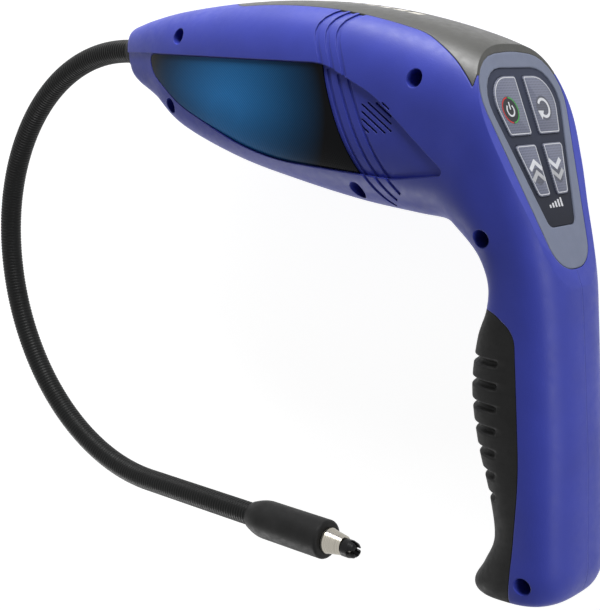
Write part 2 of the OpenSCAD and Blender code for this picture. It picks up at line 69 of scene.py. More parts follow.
# Sections of the housing from nose to foot: top or back point, bottom or front point, half width, in mm
SECTIONS = np.array([
    (-91.0, 108.2, -91.0, 90.8, 8.6), (-89.4, 109.8, -88.8, 88.2, 10.8), (-84.0, 111.2, -83.2, 84.8, 13.0),
    (-74.0, 113.2, -69.6, 78.5, 16.6), (-56.0, 115.8, -52.1, 67.5, 21.2), (-26.0, 118.0, -20.0, 57.0, 25.6),
    (4.0, 118.3, 12.0, 50.3, 28.06), (34.0, 116.1, 42.0, 45.3, 29.0), (64.0, 110.7, 66.0, 42.8, 29.0),
    (92.0, 102.5, 81.0, 41.4, 29.0), (107.5, 93.5, 88.5, 36.6, 29.0), (114.0, 75.0, 95.6, 28.6, 25.9),
    (119.2, 52.0, 98.2, 19.8, 22.5), (124.9, 28.0, 96.6, 12.5, 21.3), (127.2, 10.0, 92.6, 2.6, 21.2),
    (129.2, -14.0, 90.8, -14.0, 21.4), (130.8, -33.0, 94.0, -32.5, 21.5), (131.8, -51.0, 100.0, -50.5, 21.5),
    (132.4, -65.0, 102.6, -65.0, 21.5), (132.8, -75.0, 98.6, -75.5, 22.0), (131.4, -81.2, 94.6, -82.5, 21.7),
    (128.8, -84.8, 95.8, -86.0, 20.0), (124.4, -86.6, 101.5, -87.5, 16.0)])
LAST = len(SECTIONS) - 1
SECTION_POWER = 2 / 2.8

# Sloping back face: a point on it, its tilt, and outlines as (up the face, to the left) in mm
FACET_POINT = np.array([109.3, 64.0, 0.0])
FACET_TILT = math.radians(21.8)
EGG = ([(38, 0), (35.4, 29.4), (-37.8, 9.8), (-37.8, -9.8), (35.4, -29.4)], [60, 16, 11, 11, 16])
PAD = ([(32, 25.9), (-23, 8), (-23, -8), (32, -25.9)], [12, 3, 3, 12])
UPPER_KEY = ([(8.6, 2.3), (8.6, 15.2), (29.2, 21.5), (29.2, 2.3)], [1.2, 1.5, 9.5, 1.2])
LOWER_KEY = ([(5.4, 2.2), (5.4, 14.6), (-12.5, 9.1), (-12.5, 2.2)], [1.2, 1.5, 2, 1.2])
KEYS = {"key_power": (UPPER_KEY, 1), "key_reset": (UPPER_KEY, -1),
        "key_up": (LOWER_KEY, 1), "key_down": (LOWER_KEY, -1)}

# Outlines seen from above or from the side as corner points and the radius at each corner, in mm
STRIP = ([(-26.2, 13.5), (42, 15.8), (73, 17.2), (90, 22.8), (98.1, 25.8),
          (98.1, -25.8), (90, -22.8), (73, -17.2), (42, -15.8), (-26.2, -13.5)],
         [12, 90, 30, 30, 0.2, 0.2, 30, 30, 90, 12])
LEAF = ([(-68.1, 99), (36, 95.4), (60, 84.5), (90.5, 59.2), (66, 56.2), (0, 60), (-46.1, 78), (-65.9, 91)],
        [3, 30, 40, 1.5, 40, 120, 60, 8])
GRIP = ([(70, 15.6), (105, 14.4), (113.4, 8.4), (117.2, -40), (114.2, -97.5), (70, -97.5)],
        [1, 9, 9, 150, 1, 1])

# Step towards the nose, and rib grooves in mm: line of the first upper one, step to the next, arc of the lower ones
LEDGE = np.array([(-110.0, 99.6), (-66.0, 98.9), (20.0, 96.0), (20.0, 40.0), (-110.0, 40.0)])
RIB_LINE = np.array([(36.9, 91.6), (35.9, 94.0), (34.6, 97.0), (33.1, 100.0), (31.7, 102.8), (30.7, 105.0),
                     (30.2, 107.0), (30.3, 108.8), (31.2, 110.6), (33.2, 112.2), (36.2, 113.6), (40.0, 115.0)])
RIB_STEP = np.array([4.9, -0.5])
ARC_CENTRE = (164.5, 126.7)
ARC_RADIUS = 133.0
GROOVES = 3

# Screws with the radii of their columns and holes, speaker slots, light windows, and the collar's bore, in mm
SCREWS = [(-46.1, 105.3), (-54.1, 78), (47, 51), (76, 90.4), (101.5, 39), (120.3, -77.5)]
SCREW_COLUMN = 4.5
SCREW_HOLE = 3.1
VENT = (60.2, 77.0)
VENT_FIELD = np.array([6.3, 5.0])
SLOT_TURN = math.radians(-34.4)
SLOT_PITCH = 2.05
SLOT_HALF = 0.36
WINDOWS = (38.5, 114.7)
WINDOW_TILT = math.radians(-8.9)
WINDOW_COUNT = 6
WINDOW_PITCH = 6.9
WINDOW_HALF = (3.05, 3.1)
BORE = 7.4

# Spans of the housing between two places in its list of sections
HOLLOW_SPAN = (1.6, LAST - 2.4)
HEAD_SPAN = (1.0, 11.5)
GROOVE_SPAN = (5.0, 10.5)
COVER_SPAN = (3.5, 14.5)
GRIP_SPAN = (11.0, LAST)
WINDOW_SPAN = (4.0, 10.0)

# Beyond the housing on either side, in mm, so that a cut goes right through it
CLEAR = 40.0

# Finger grooves of the grip in mm: height of the first, pitch and count, half width and depth, where they fade out
FINGER_START, FINGER_PITCH, FINGERS = -3.0, 7.75, 7
FINGER_HALF, FINGER_DEPTH = 1.7, 1.7
FINGER_END, FINGER_FADE = 108.3, 2.2

# Levels out of the sloping face in mm: seat of the keypad, wells under the keys, underside and top of the print,
# and for the film and the keys each level with how far the outline grows there
SEAT = -1.1
WELL = -2.4
PRINT_LOW, PRINT_HIGH = 0.19, 0.24
# Tops of the power sign's dark disc and of the discs of painted dome shade
DISC_HIGH, DOME_SHADE_HIGH = 0.215, 0.21
FILM_LEVELS = [(SEAT, 0.0), (-0.42, 0.0), (-0.3, -0.12)]
KEY_LEVELS = [(SEAT, 0.0), (0.02, 0.0), (0.14, -0.08), (0.2, -0.22)]

# Middles of the printed signs on the sloping face, in mm
POWER_HUB = (17.4, 10.9)
RESET_HUB = (17.6, -9.6)
UP_HUB, DOWN_HUB = (-5.6, 6.1), (-5.6, -6.1)

# Neck: height of its axis at the nose, end of the straight lead, bend radii, straight tail and radius, in mm
AXIS = 99.8
BEND = -102.6
LEAD, UPPER, LOWER, TAIL = 21.6, 93.6, 101.6, 68.0
NECK_RADIUS = 5.0
TIP_LINE = AXIS - UPPER - LOWER
TIP_START = BEND - UPPER + LOWER + TAIL

# Neck joints by length along the neck, its end in the sleeve, and half the length that bends at a joint, in mm
JOINTS = LEAD + np.concatenate([UPPER * np.pi / 6 * np.arange(1, 4),
                                UPPER * np.pi / 2 + LOWER * np.pi / 6 * np.arange(1, 4)])
NECK_END = LEAD + (UPPER + LOWER) * np.pi / 2 + TAIL + 8.0
BEND_HALF = 9.0

# Profiles of the turned pieces as (place along the axis, radius) in mm, the cone's measured from the sleeve's back
COLLAR = [(-83.0, 5.2), (-96.0, 5.2), (-96.0, 6.0), (-95.8, 6.6), (-95.3, 7.0), (-94.6, 7.2), (-83.0, 7.2)]
CONE = [(40.5, 2.6), (40.5, 4.4), (42.2, 4.4), (42.2, 5.4), (43.2, 5.4), (43.5, 5.2), (50.6, 4.05), (51.0, 3.8),
        (51.0, 2.6)]

# Lamps by name: place in mm, size in metres and power in watts
LAMPS = {"main": ((-60, 900, 150), (0.8, 0.3), 14.0), "back": ((900, 60, 140), (0.3, 0.7), 3.6),
         "low": ((-560, -640, 170), (0.4, 0.3), 2.4)}
LAMP_AIM = (20.0, 20.0, 0.0)

# Camera: turn from the detector's left towards its back, rise, distance in metres and lens in mm
CAMERA_TURN, CAMERA_RISE = math.radians(42.3), math.radians(11.2)
CAMERA_AWAY = 0.5
CAMERA_LENS = 73.77


class DetectorShape(bpy.types.PropertyGroup):
    """Sizes of the surfaces that are laid over the solids."""

    wall: FloatProperty(name="Wall", description="Thickness of the housing wall", default=0.003, unit="LENGTH")
    play: FloatProperty(name="Play", description="Gap between fitted pieces", default=0.0002, unit="LENGTH")
    parting: FloatProperty(name="Parting line", description="Half the gap between the housing halves",
                           default=0.00002, unit="LENGTH")
    recess: FloatProperty(name="Recess", description="Depth of the side recess", default=0.0014, unit="LENGTH")
    ledge: FloatProperty(name="Ledge", description="Step under the edge that runs from the recess to the nose",
                         default=0.0007, unit="LENGTH")
    label: FloatProperty(name="Label", description="Thickness of the side label", default=0.0006, unit="LENGTH")
    groove_width: FloatProperty(name="Groove width", description="Width of a rib groove",
                                default=0.0013, unit="LENGTH")
    groove_depth: FloatProperty(name="Groove depth", description="Depth of a rib groove",
                                default=0.0005, unit="LENGTH")
    groove_pitch: FloatProperty(name="Groove pitch", description="Distance between rib grooves",
                                default=0.0042, unit="LENGTH")
    ridge_pitch: FloatProperty(name="Ridge pitch", description="Distance between ridges of the neck",
                               default=0.0015, unit="LENGTH")
    ridge_height: FloatProperty(name="Ridge height", description="Height of a ridge of the neck",
                                default=0.0003, unit="LENGTH")
    rows: IntProperty(name="Rows", description="Surface rows between two sections of the housing",
                      default=14, min=4)
    columns: IntProperty(name="Columns", description="Surface columns round half the housing",
                         default=64, min=16)


class DetectorColours(bpy.types.PropertyGroup):
    """Colours of the detector's finishes."""

    body: FloatVectorProperty(name="Housing", description="Blue of the moulded housing",
                              subtype="COLOR", default=(0.034, 0.047, 0.325))
    plate: FloatVectorProperty(name="Key plate", description="Blue grey of the plate round the keypad",
                               subtype="COLOR", default=(0.120, 0.140, 0.205))
    strip: FloatVectorProperty(name="Top strip", description="Dark grey of the strip along the top",
                               subtype="COLOR", default=(0.034, 0.034, 0.031))
    lens: FloatVectorProperty(name="Light windows", description="Cream of the light windows",
                              subtype="COLOR", default=(0.420, 0.390, 0.320))
    overlay: FloatVectorProperty(name="Overlay", description="Dark film round the keys",
                                 subtype="COLOR", default=(0.015, 0.018, 0.032))
    key: FloatVectorProperty(name="Keys", description="Grey of the key faces",
                             subtype="COLOR", default=(0.110, 0.120, 0.175))
    ink: FloatVectorProperty(name="Print", description="Pale print on the keys",
                             subtype="COLOR", default=(0.560, 0.570, 0.600))
    glow: FloatVectorProperty(name="Label centre", description="Blue in the middle of the label",
                              subtype="COLOR", default=(0.026, 0.185, 0.470))
    rubber: FloatVectorProperty(name="Rubber", description="Black of the grip and the sleeve",
                                subtype="COLOR", default=(0.008, 0.008, 0.008))
    neck: FloatVectorProperty(name="Neck", description="Black of the ribbed neck",
                              subtype="COLOR", default=(0.0045, 0.0048, 0.0048))
    steel: FloatVectorProperty(name="Cone", description="Tint of the metal cone",
                               subtype="COLOR", default=(0.430, 0.405, 0.350))
    floor: FloatVectorProperty(name="Floor", description="Colour of the floor",
                               subtype="COLOR", default=(0.900, 0.900, 0.900))


def shape():
    """Sizes that the panel shows."""
    return bpy.context.scene.detector_shape


def colours():
    """Colours that the panel shows."""
    return bpy.context.scene.detector_colours


# Geometry helpers

def row(points):
    """Points of the detector's own frame in mm, as row frame metres."""
    return np.asarray(points, float) * MM + SHIFT


def facet(up, left, out):
    """Points given up the sloping face, to its left and out of it, in mm, as row frame metres."""
    up, left, out = np.broadcast_arrays(*(np.asarray(v, float) for v in (up, left, out)))
    c, s = math.cos(FACET_TILT), math.sin(FACET_TILT)
    return row(np.stack([FACET_POINT[0] + out * c - up * s, FACET_POINT[1] + out * s + up * c, left], -1))


def rounded(outline, grow=0.0, steps=8):
    """Polygon with each corner swapped for an arc tangent to both of its sides, moved outwards by grow."""
    points, radii = np.array(outline[0], float), np.array(outline[1], float)
    before, after = np.roll(points, 1, 0), np.roll(points, -1, 0)
    u = (before - points) / np.linalg.norm(before - points, axis=1)[:, None]
    v = (after - points) / np.linalg.norm(after - points, axis=1)[:, None]
    half = np.arccos(np.clip((u * v).sum(1), -1, 1)) / 2
    bisector = (u + v) / np.linalg.norm(u + v, axis=1)[:, None]
    hub = points + bisector * (radii / np.sin(half))[:, None]
    first = points + u * (radii / np.tan(half))[:, None] - hub
    final = points + v * (radii / np.tan(half))[:, None] - hub
    start = np.arctan2(first[:, 1], first[:, 0])
    turn = (np.arctan2(final[:, 1], final[:, 0]) - start + 3 * np.pi) % (2 * np.pi) - np.pi
    angle = start[:, None] + turn[:, None] * np.linspace(0, 1, steps)
    ring = (hub[:, None] + radii[:, None, None] * np.stack([np.cos(angle), np.sin(angle)], -1)).reshape(-1, 2)
    return ring + normals(ring) * grow


def normals(ring):
    """Outward unit normals of a closed ring of points, from the chord between each point's neighbours."""
    along = np.roll(ring, -1, 0) - np.roll(ring, 1, 0)
    area = (ring[:, 0] * np.roll(ring[:, 1], -1) - ring[:, 1] * np.roll(ring[:, 0], -1)).sum()
    out = np.stack([along[:, 1], -along[:, 0]], -1) * np.sign(area)
    return out / np.maximum(np.linalg.norm(out, axis=1), 1e-9)[:, None]


def bow(v):
    """Signed power that squares a circle's sine or cosine off into a rounded rectangle's."""
    return np.sign(v) * np.abs(v) ** SECTION_POWER


def body_surface(u, turn, inset):
    """Housing surface: a Catmull-Rom curve through the sections along u, and round each section a superellipse
    whose ends are its two points and whose half width is its own, all moved inwards by inset millimetres."""
    i = np.clip(np.floor(u).astype(int), 0, LAST - 1)
    t = (u - i)[:, None]
    a, b = SECTIONS[np.maximum(i - 1, 0)], SECTIONS[i]
    c, d = SECTIONS[i + 1], SECTIONS[np.minimum(i + 2, LAST)]
    s = 0.5 * (2 * b + (c - a) * t + (2 * a - 5 * b + 4 * c - d) * t ** 2 + (3 * b - a - 3 * c + d) * t ** 3)
    top, low, width = s[:, 0:2], s[:, 2:4], s[:, 4:5]
    span = np.linalg.norm(top - low, axis=1)[:, None]
    reach = (span / 2 - inset) * bow(np.cos(turn))
    plane = (top + low)[:, None] / 2 + reach[..., None] * ((top - low) / span)[:, None]
    side = (width - inset) * bow(np.sin(turn))
    return np.concatenate([plane, side[..., None]], -1)


def grid_faces(rows, columns, wrap):
    """Quads of a grid of points, closed round its columns where wrap is true."""
    k = np.arange(rows - 1)[:, None] * columns
    j = np.arange(columns if wrap else columns - 1)[None]
    n = (j + 1) % columns
    return np.stack([k + j, k + n, k + columns + n, k + columns + j], -1).reshape(-1, 4)


def piece(name, points, faces):
    """Mesh object from points in row frame metres, its faces turned outwards by the sign of its volume."""
    mesh = bpy.data.meshes.new(name)
    mesh.from_pydata(np.asarray(points).reshape(-1, 3).tolist(), [], [list(f) for f in faces])
    obj = bpy.data.objects.new(name, mesh)
    bpy.context.scene.collection.objects.link(obj)
    mesh.calc_loop_triangles()
    corners = np.empty(len(mesh.loop_triangles) * 3, int)
    mesh.loop_triangles.foreach_get("vertices", corners)
    p = np.asarray(points).reshape(-1, 3)[corners].reshape(-1, 3, 3)
    if np.einsum("ij,ij->i", p[:, 0], np.cross(p[:, 1], p[:, 2])).sum() < 0:
        mesh.flip_normals()
    return obj


def tube_solid(name, rings):
    """Closed solid through a stack of closed rings, with flat ends."""
    rows, columns = rings.shape[:2]
    faces = grid_faces(rows, columns, True).tolist()
    faces.append(list(range(columns))[::-1])
    faces.append(list(range((rows - 1) * columns, rows * columns)))
    return piece(name, rings, faces)


def joined(name, solids):
    """One object from several closed ring stacks that don't touch."""
    points, faces, base = [], [], 0
    for rings in solids:
        rows, columns = rings.shape[:2]
        block = (grid_faces(rows, columns, True) + base).tolist()
        block.append([base + i for i in reversed(range(columns))])
        block.append([base + (rows - 1) * columns + i for i in range(columns)])
        points.append(rings.reshape(-1, 3))
        faces += block
        base += rows * columns
    return piece(name, np.concatenate(points), faces)


def side_prism(ring, low, high, side):
    """Side view outline carried straight across from one distance off the symmetry plane to another."""
    return np.stack([row(np.column_stack([ring, np.full(len(ring), side * z)])) for z in (low, high)])


def facet_prism(ring, low, high):
    """Outline on the sloping face carried straight out from one level to another."""
    return np.stack([facet(ring[:, 0], ring[:, 1], level) for level in (low, high)])


def body_solid(name, inset, start=0.0, end=LAST, side=0, rows=None, columns=None):
    """Solid housing shape between two sections: whole, or the half on one side of the symmetry plane."""
    rows = rows or shape().rows
    columns = columns or shape().columns
    u = np.linspace(start, end, int(round((end - start) * rows)) + 1)
    if side:
        turn = np.linspace(0, np.pi, columns + 1)
    else:
        turn = np.linspace(0, 2 * np.pi, 2 * columns, endpoint=False)
    rings = body_surface(u, turn, inset)
    rings[..., 2] *= side or 1
    return tube_solid(name, row(rings))


def combine(target, tool, operation="DIFFERENCE"):
    """Boolean of two closed objects; the tool is used up."""
    modifier = target.modifiers.new("combine", "BOOLEAN")
    modifier.operation = operation
    modifier.object = tool
    modifier.solver = "MANIFOLD"
    bpy.context.view_layer.update()
    made = bpy.data.meshes.new_from_object(target.evaluated_get(bpy.context.evaluated_depsgraph_get()))
    target.modifiers.clear()
    spare, target.data = target.data, made
    name = spare.name
    bpy.data.meshes.remove(spare)
    made.name = name
    drop(tool)
    if len(made.polygons) < 4:
        raise RuntimeError(f"{target.name}: nothing is left after a {operation.lower()} with a tool")
    return target


def drop(obj):
    """Takes an object and its mesh out of the file."""
    mesh = obj.data
    bpy.data.objects.remove(obj)
    bpy.data.meshes.remove(mesh)


def finish_piece(obj, material, body, nodes=(), angle=32):
    """Shades a piece smooth up to an angle, gives it its material and hangs it on its body."""
    mesh = obj.data
    mesh.polygons.foreach_set("use_smooth", np.ones(len(mesh.polygons), bool))
    mesh.set_sharp_from_angle(angle=math.radians(angle))
    mesh.materials.clear()
    mesh.materials.append(material)
    if body:
        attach(obj, body)
    if nodes:
        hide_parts(*nodes)
    return obj


def map_facet(obj):
    """UV map of a keypad piece: place to the left of the face and up it, in centimetres."""
    mesh = obj.data
    points = np.empty(len(mesh.vertices) * 3)
    mesh.vertices.foreach_get("co", points)
    local = (points.reshape(-1, 3) - SHIFT) / MM - FACET_POINT
    up = -local[:, 0] * math.sin(FACET_TILT) + local[:, 1] * math.cos(FACET_TILT)
    loops = np.empty(len(mesh.loops), int)
    mesh.loops.foreach_get("vertex_index", loops)
    layer = mesh.uv_layers.new(name="face")
    layer.data.foreach_set("uv", (np.stack([local[:, 2], up], -1)[loops] * 0.1).ravel())
    return obj


# Materials

def material(name, colour, roughness, metallic=0.0, coat=0.0, specular=0.5):
    """Principled material with constants on the shader's own sockets, and its node tree's handles."""
    made = bpy.data.materials.new(name)
    made.use_nodes = True
    made.diffuse_color = (*colour, 1)
    shader = made.node_tree.nodes["Principled BSDF"]
    shader.inputs["Base Color"].default_value = (*colour, 1)
    shader.inputs["Roughness"].default_value = roughness
    shader.inputs["Metallic"].default_value = metallic
    shader.inputs["Coat Weight"].default_value = coat
    shader.inputs["Specular IOR Level"].default_value = specular
    return made, shader


def node(made, kind, **values):
    """New shader node with properties by attribute name and inputs by socket name."""
    n = made.node_tree.nodes.new(kind)
    for key, value in values.items():
        if key in n.inputs:
            n.inputs[key].default_value = value
        else:
            setattr(n, key, value)
    return n


def link(made, source, target):
    """Joins two sockets of one node tree."""
    made.node_tree.links.new(source, target)


def noise(made, scale, detail=3.0):
    """Noise over the piece's own place in the object, with its scale in cells to the metre."""
    place = node(made, "ShaderNodeTexCoord")
    texture = node(made, "ShaderNodeTexNoise", Scale=scale, Detail=detail)
    link(made, place.outputs["Object"], texture.inputs["Vector"])
    return texture.outputs["Fac"]


def spread(made, value, low, high):
    """Middle part of a value's range, from 0.3 to 0.7, mapped to a narrow span."""
    span = node(made, "ShaderNodeMapRange")
    span.inputs["From Min"].default_value = 0.3
    span.inputs["From Max"].default_value = 0.7
    span.inputs["To Min"].default_value = low
    span.inputs["To Max"].default_value = high
    link(made, value, span.inputs["Value"])
    return span.outputs["Result"]


def tint(made, shader, value, dark, light):
    """Base colour that runs between two tones as a value goes from 0.3 to 0.7."""
    ramp = node(made, "ShaderNodeValToRGB")
    ramp.color_ramp.elements[0].color = (*dark, 1)
    ramp.color_ramp.elements[1].color = (*light, 1)
    ramp.color_ramp.elements[0].position = 0.3
    ramp.color_ramp.elements[1].position = 0.7
    link(made, value, ramp.inputs["Fac"])
    link(made, ramp.outputs["Color"], shader.inputs["Base Color"])
    return ramp


def bump(made, shader, value, depth, edge=0.0):
    """Surface relief from a value, its depth in metres, with sharp edges shaded as if rounded to a radius."""
    relief = node(made, "ShaderNodeBump", Strength=1.0, Distance=depth)
    link(made, value, relief.inputs["Height"])
    if edge:
        rounding = node(made, "ShaderNodeBevel", Radius=edge, samples=6)
        link(made, rounding.outputs["Normal"], relief.inputs["Normal"])
    link(made, relief.outputs["Normal"], shader.inputs["Normal"])


def shade(colour, factor):
    """Colour made darker or lighter by a factor."""
    return tuple(min(c * factor, 1.0) for c in colour)


def moulded(name, colour, roughness, grain=2400.0, depth=0.00003, specular=0.4, edge=0.0005):
    """Moulded plastic: a slightly clouded colour, uneven gloss and a fine spark-eroded grain."""
    made, shader = material(name, colour, roughness, specular=specular)
    cloud = noise(made, 60.0)
    tint(made, shader, cloud, shade(colour, 0.93), shade(colour, 1.07))
    link(made, spread(made, noise(made, 350.0), roughness - 0.05, roughness + 0.05), shader.inputs["Roughness"])
    bump(made, shader, noise(made, grain, 2.0), depth, edge)
    return made


def rubber(name, colour, roughness=0.55):
    """Soft rubber: near black with a dusty cloud and a matt grain."""
    made, shader = material(name, colour, roughness, specular=0.14)
    tint(made, shader, noise(made, 120.0), shade(colour, 0.8), shade(colour, 1.4))
    link(made, spread(made, noise(made, 500.0), roughness - 0.06, roughness + 0.08), shader.inputs["Roughness"])
    bump(made, shader, noise(made, 3200.0, 2.0), 0.00004, 0.0004)
    return made


def turned_steel(name, colour):
    """Turned metal: fine rings round the probe's axis, from noise stretched across it."""
    made, shader = material(name, colour, 0.24, metallic=1.0)
    place = node(made, "ShaderNodeTexCoord")
    stretch = node(made, "ShaderNodeMapping")
    stretch.inputs["Scale"].default_value = (3000.0, 40.0, 40.0)
    rings = node(made, "ShaderNodeTexNoise", Scale=1.0, Detail=3.0)
    link(made, place.outputs["Object"], stretch.inputs["Vector"])
    link(made, stretch.outputs["Vector"], rings.inputs["Vector"])
    tint(made, shader, rings.outputs["Fac"], shade(colour, 0.8), shade(colour, 1.1))
    link(made, spread(made, rings.outputs["Fac"], 0.18, 0.34), shader.inputs["Roughness"])
    bump(made, shader, rings.outputs["Fac"], 0.000003)
    return made


def dotted(name, colour):
    """Key face: rows of small dark dots, a little sunk, on one colour."""
    made, shader = material(name, colour, 0.45)
    place = node(made, "ShaderNodeUVMap", uv_map="face")
    scale = node(made, "ShaderNodeVectorMath", operation="SCALE")
    scale.inputs["Scale"].default_value = 11.0
    cell = node(made, "ShaderNodeVectorMath", operation="FRACTION")
    middle = node(made, "ShaderNodeVectorMath", operation="DISTANCE")
    middle.inputs[1].default_value = (0.5, 0.5, 0.0)
    link(made, place.outputs["UV"], scale.inputs[0])
    link(made, scale.outputs["Vector"], cell.inputs[0])
    link(made, cell.outputs["Vector"], middle.inputs[0])
    ramp = tint(made, shader, middle.outputs["Value"], shade(colour, 0.55), colour)
    ramp.color_ramp.elements[0].position = 0.22
    ramp.color_ramp.elements[1].position = 0.36
    bump(made, shader, middle.outputs["Value"], 0.00006)
    return made


def film(name, colour):
    """Keypad film: dark, with painted shade towards the bottom of the face and painted light towards its top, and a
    fine tooth.
    """
    made, shader = material(name, colour, 0.4, specular=0.1)
    place = node(made, "ShaderNodeUVMap", uv_map="face")
    split = node(made, "ShaderNodeSeparateXYZ")
    link(made, place.outputs["UV"], split.inputs["Vector"])
    # Painted shade and light: the colour runs from half the film's colour at the bottom of the face to nearly twice
    # it at the top
    level = node(made, "ShaderNodeMapRange")
    level.inputs["From Min"].default_value = -2.4
    level.inputs["From Max"].default_value = 3.2
    link(made, split.outputs["Y"], level.inputs["Value"])
    ramp = tint(made, shader, level.outputs["Result"], shade(colour, 0.5), shade(colour, 1.9))
    ramp.color_ramp.elements[0].position = 0.0
    ramp.color_ramp.elements[1].position = 1.0
    bump(made, shader, noise(made, 2600.0), 0.00002)
    return made


def glossy_label(name, glow):
    """Bare glossy label: a blue glow off the middle that runs out to near black, under fine slanting lines."""
    made, shader = material(name, glow, 0.22, specular=0.05)
    place = node(made, "ShaderNodeTexCoord")
    middle = row((-16.0, 77.0, 25.0))
    reach = 1 / np.array([0.056, 0.044, 0.120])
    centre = node(made, "ShaderNodeMapping", Location=tuple(-middle * reach), Scale=tuple(reach))
    ball = node(made, "ShaderNodeTexGradient", gradient_type="SPHERICAL")
    link(made, place.outputs["Object"], centre.inputs["Vector"])
    link(made, centre.outputs["Vector"], ball.inputs["Vector"])
    ramp = node(made, "ShaderNodeValToRGB")
    ramp.color_ramp.elements[0].color = (0.003, 0.0035, 0.005, 1)
    ramp.color_ramp.elements[0].position = 0.04
    ramp.color_ramp.elements[1].color = (*shade(glow, 1.3), 1)
    ramp.color_ramp.elements[1].position = 0.85
    ramp.color_ramp.elements.new(0.30).color = (*shade(glow, 0.35), 1)
    link(made, ball.outputs["Fac"], ramp.inputs["Fac"])
    turn = node(made, "ShaderNodeMapping", Rotation=(0.0, 0.0, math.radians(45)))
    lines = node(made, "ShaderNodeTexWave", Scale=420.0, Distortion=0.0)
    link(made, place.outputs["Object"], turn.inputs["Vector"])
    link(made, turn.outputs["Vector"], lines.inputs["Vector"])
    hatch = node(made, "ShaderNodeMix", data_type="RGBA", blend_type="MULTIPLY")
    hatch.inputs["Factor"].default_value = 0.35
    link(made, ramp.outputs["Color"], hatch.inputs[6])
    link(made, lines.outputs["Color"], hatch.inputs[7])
    link(made, hatch.outputs[2], shader.inputs["Base Color"])
    bump(made, shader, noise(made, 900.0), 0.00001)
    return made


def printed(name, colour, roughness, grain, dark, light, specular=0.5):
    """Printed ink: one colour, a little uneven."""
    made, shader = material(name, colour, roughness, specular=specular)
    tint(made, shader, noise(made, grain), dark, light)
    return made


def coated_board(name):
    """Circuit board: green mask with darker copper fields."""
    made, shader = material(name, (0.02, 0.12, 0.05), 0.35)
    tint(made, shader, noise(made, 260.0, 0.0), (0.015, 0.09, 0.04), (0.03, 0.17, 0.07))
    bump(made, shader, noise(made, 1400.0), 0.00003)
    return made


# Pieces

def circle(radius, count, centre=(0.0, 0.0)):
    """Points of a circle, by the cosine and sine of even steps round it."""
    angle = np.linspace(0, 2 * np.pi, count, endpoint=False)
    return np.stack([np.cos(angle), np.sin(angle)], -1) * radius + centre


def cavity(name, side=0):
    """Hollow of the housing, with the rim behind the sloping face and the screw columns left standing."""
    hollow = body_solid(name, shape().wall / MM, *HOLLOW_SPAN)
    combine(hollow, joined("rim", [facet_prism(rounded(EGG, 3.0), -7.0, 20.0)]))
    if side > 0:
        columns = [side_prism(circle(SCREW_COLUMN, 32, p), 0.0, CLEAR, 1) for p in SCREWS]
        combine(hollow, joined("columns", columns))
    return hollow


def strip_prism(grow):
    """Outline of the top strip carried upwards through the top of the head. Its lower level drops from 96 to 84 mm
    towards the key plate, where the strip's edges run down beside it."""
    ring = rounded(STRIP, grow, 12)
    low = np.clip(96.0 - 0.6 * (ring[:, 0] - 70.0), 84.0, 96.0)
    high = np.full_like(low, 136.0)
    return np.stack([row(np.column_stack([ring[:, 0], y, ring[:, 1]])) for y in (low, high)])


def facet_block():
    """Block over the sloping face, which cuts the housing off flat there."""
    return facet_prism(np.array([(-60.0, -50.0), (60.0, -50.0), (60.0, 50.0), (-60.0, 50.0)]), 0.0, 40.0)


def key_outline(key, grow):
    """Outline of one key, mirrored to its side of the face and run through in the same sense on both sides."""
    (points, radii), side = KEYS[key]
    ring = rounded((points, radii), grow, 10) * (1, side)
    area = (ring[:, 0] * np.roll(ring[:, 1], -1) - ring[:, 1] * np.roll(ring[:, 0], -1)).sum()
    return ring if area > 0 else ring[::-1]


def arcs(radius, width, start, steps=40):
    """Outline of one lower rib groove: a band along an arc about the label's arc centre, from an angle at the
    recess's upper edge down to the underside."""
    angle = np.linspace(math.radians(start), math.radians(218), steps)
    ring = np.stack([np.cos(angle), np.sin(angle)], -1)
    return np.concatenate([ring * (radius + width / 2), ring[::-1] * (radius - width / 2)]) + ARC_CENTRE


def ribs(i, width):
    """Outline of one upper rib groove: a band along a line that leans forwards up the side, then bends back over
    the top."""
    return stroke(RIB_LINE + RIB_STEP * i, width)


def vent_slots():
    """Outlines of the slanting speaker slots: round-ended lines, each cut to a rectangular field."""
    along = np.array([math.cos(SLOT_TURN), math.sin(SLOT_TURN)])
    across = np.array([-along[1], along[0]])
    bend = np.linspace(-np.pi / 2, np.pi / 2, 7)
    end = np.stack([np.cos(bend), np.sin(bend)], -1) * SLOT_HALF
    outlines = []
    for i in range(-3, 4):
        middle = i * SLOT_PITCH * across
        ends = np.stack([(VENT_FIELD - middle) / along, (-VENT_FIELD - middle) / along])
        low, high = ends.min(0).max(), ends.max(0).min()
        ring = np.concatenate([end + (high, 0), -end + (low, 0)])
        outlines.append(VENT + middle + ring[:, :1] * along + ring[:, 1:] * across)
    return outlines


def grip_prism(grow):
    """Side outline of the grip carried right across the handle."""
    return side_prism(rounded(GRIP, grow, 12), -CLEAR, CLEAR, 1)


